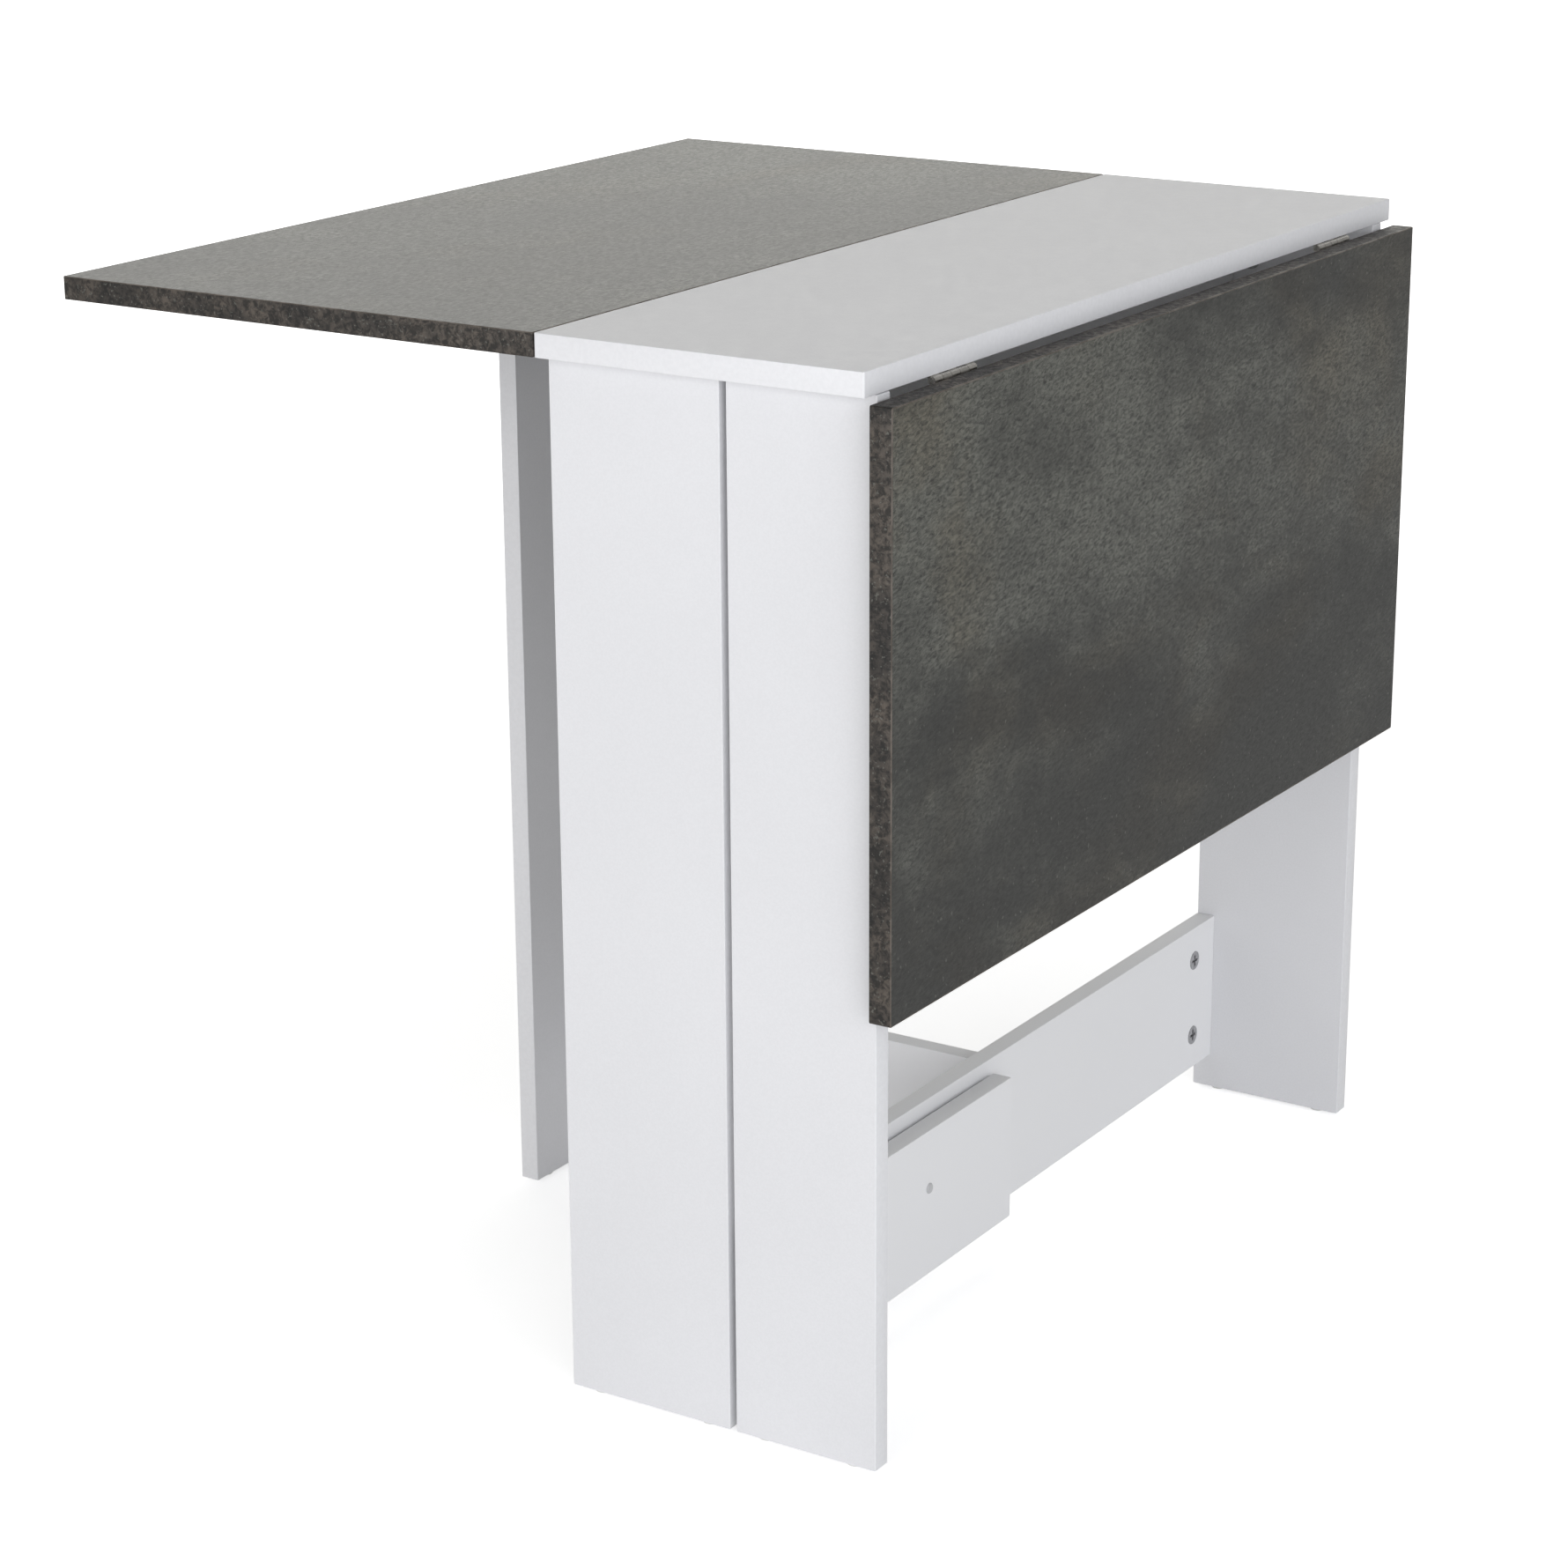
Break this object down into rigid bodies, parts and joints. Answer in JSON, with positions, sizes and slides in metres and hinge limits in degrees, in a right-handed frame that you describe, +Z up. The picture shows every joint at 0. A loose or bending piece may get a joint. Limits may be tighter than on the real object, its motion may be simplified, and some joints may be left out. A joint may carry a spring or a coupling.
{
  "type": "folding dining table",
  "caption": "Drop-leaf table: fixed white centre top on end panels, dark hinged leaves at its long edges, and leg frames that swing out to carry them; one leaf raised, the other hanging.",
  "frame": {"origin": "on the floor, under the middle of the fixed centre top", "axes": "+X across the table towards the hanging leaf, +Y along the table away from the picture's near end, +Z up"},
  "size_m": [0.6555, 0.76, 0.734],
  "materials": {
    "white_melamine": "white melamine-faced board, fine grain, satin",
    "white_edge_band": "white plastic edge band, satin",
    "concrete_laminate": "dark concrete-look laminate on board, matt",
    "concrete_edge_band": "mottled brown-grey edge band, matt",
    "hinge_steel": "zinc-plated sheet steel",
    "screw_steel": "zinc-plated steel",
    "cam_metal": "nickel-plated die-cast zinc",
    "bolt_steel": "zinc-plated steel",
    "glide_plastic": "white polyethylene",
    "cap_plastic": "light grey plastic",
    "dowel_wood": "beech"
  },
  "bodies": {
    "frame": {"center_top": "white_melamine", "center_top_edge_band": "white_edge_band", "far_fixed_panel": "white_melamine", "far_fixed_panel_edge_band": "white_edge_band", "frame_cam_bolts": "bolt_steel", "frame_cam_locks": "cam_metal", "frame_dowels": "dowel_wood", "frame_glides": "glide_plastic", "leaf_hinge_top_screws": "screw_steel", "left_leaf_far_hinge_top_plate": "hinge_steel", "left_leaf_hinge_pins": "hinge_steel", "left_leaf_near_hinge_top_plate": "hinge_steel", "left_leg_hinge_pins": "hinge_steel", "left_leg_lower_hinge_rail_plate": "hinge_steel", "left_leg_upper_hinge_rail_plate": "hinge_steel", "leg_hinge_rail_screws": "screw_steel", "lower_rail": "white_melamine", "near_fixed_panel": "white_melamine", "near_fixed_panel_edge_band": "white_edge_band", "right_leaf_far_hinge_top_plate": "hinge_steel", "right_leaf_hinge_pins": "hinge_steel", "right_leaf_near_hinge_top_plate": "hinge_steel", "right_leg_hinge_pins": "hinge_steel", "right_leg_lower_hinge_rail_plate": "hinge_steel", "right_leg_upper_hinge_rail_plate": "hinge_steel", "upper_rail": "white_melamine"},
    "left_leaf": {"left_leaf": "concrete_laminate", "left_leaf_edge_band": "concrete_edge_band", "left_leaf_far_hinge_leaf_plate": "hinge_steel", "left_leaf_hinge_screws": "screw_steel", "left_leaf_near_hinge_leaf_plate": "hinge_steel"},
    "left_leg": {"left_leg_arm_cap": "cap_plastic", "left_leg_cam_bolts": "bolt_steel", "left_leg_cam_locks": "cam_metal", "left_leg_glides": "glide_plastic", "left_leg_hinge_screws": "screw_steel", "left_leg_lower_arm": "white_melamine", "left_leg_lower_hinge_arm_plate": "hinge_steel", "left_leg_panel": "white_melamine", "left_leg_panel_edge_band": "white_edge_band", "left_leg_upper_arm": "white_melamine", "left_leg_upper_hinge_arm_plate": "hinge_steel"},
    "right_leaf": {"right_leaf": "concrete_laminate", "right_leaf_edge_band": "concrete_edge_band", "right_leaf_far_hinge_leaf_plate": "hinge_steel", "right_leaf_hinge_screws": "screw_steel", "right_leaf_near_hinge_leaf_plate": "hinge_steel"},
    "right_leg": {"right_leg_arm_cap": "cap_plastic", "right_leg_cam_bolts": "bolt_steel", "right_leg_cam_locks": "cam_metal", "right_leg_glides": "glide_plastic", "right_leg_hinge_screws": "screw_steel", "right_leg_lower_arm": "white_melamine", "right_leg_lower_hinge_arm_plate": "hinge_steel", "right_leg_panel": "white_melamine", "right_leg_panel_edge_band": "white_edge_band", "right_leg_upper_arm": "white_melamine", "right_leg_upper_hinge_arm_plate": "hinge_steel"}
  },
  "joints": [
    {"name": "right_leaf_hinge", "type": "hinge", "parent": "frame", "child": "right_leaf", "pos_m": [0.1215, 0, 0.715], "axis": [0, -1, 0], "range_deg": [0, 90]},
    {"name": "left_leg_hinge", "type": "hinge", "parent": "frame", "child": "left_leg", "pos_m": [-0.0105, 0.014, 0.376], "axis": [0, 0, 1], "range_deg": [-90, 0]},
    {"name": "left_leaf_hinge", "type": "hinge", "parent": "frame", "child": "left_leaf", "pos_m": [-0.1215, 0, 0.715], "axis": [0, 1, 0], "range_deg": [0, 2]},
    {"name": "right_leg_hinge", "type": "hinge", "parent": "frame", "child": "right_leg", "pos_m": [0.0105, -0.014, 0.376], "axis": [0, 0, 1], "range_deg": [0, 0.5]}
  ]
}
